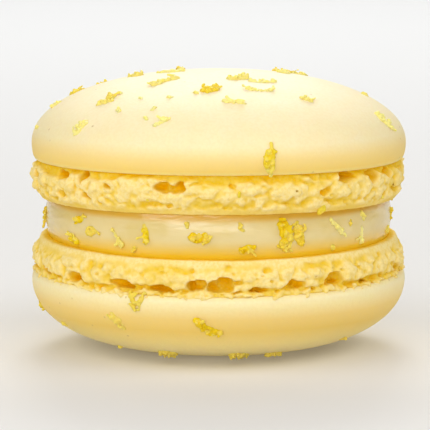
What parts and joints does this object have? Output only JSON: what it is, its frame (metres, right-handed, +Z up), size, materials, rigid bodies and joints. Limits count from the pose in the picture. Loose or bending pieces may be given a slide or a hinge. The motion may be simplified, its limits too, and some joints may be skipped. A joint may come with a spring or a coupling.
{
  "type": "french macaron",
  "caption": "Round lemon macaron: smooth domed almond shells with ruffled feet, a glossy lemon cream filling between their flat sides, and scattered lemon zest.",
  "frame": {"origin": "middle of the small flat spot on the lower shell that the macaron rests on", "axes": "+Z up, along the macaron's round axis from the lower shell to the upper one; -Y is the front"},
  "size_m": [0.0472, 0.0471, 0.0347],
  "materials": {
    "shell": "baked almond meringue, smooth satin skin with a crumbly porous foot",
    "cream": "glossy, slightly translucent lemon cream",
    "zest": "moist grated lemon peel"
  },
  "bodies": {
    "root": {"lower_shell": "shell", "filling": "cream", "upper_shell": "shell"}
  },
  "joints": []
}
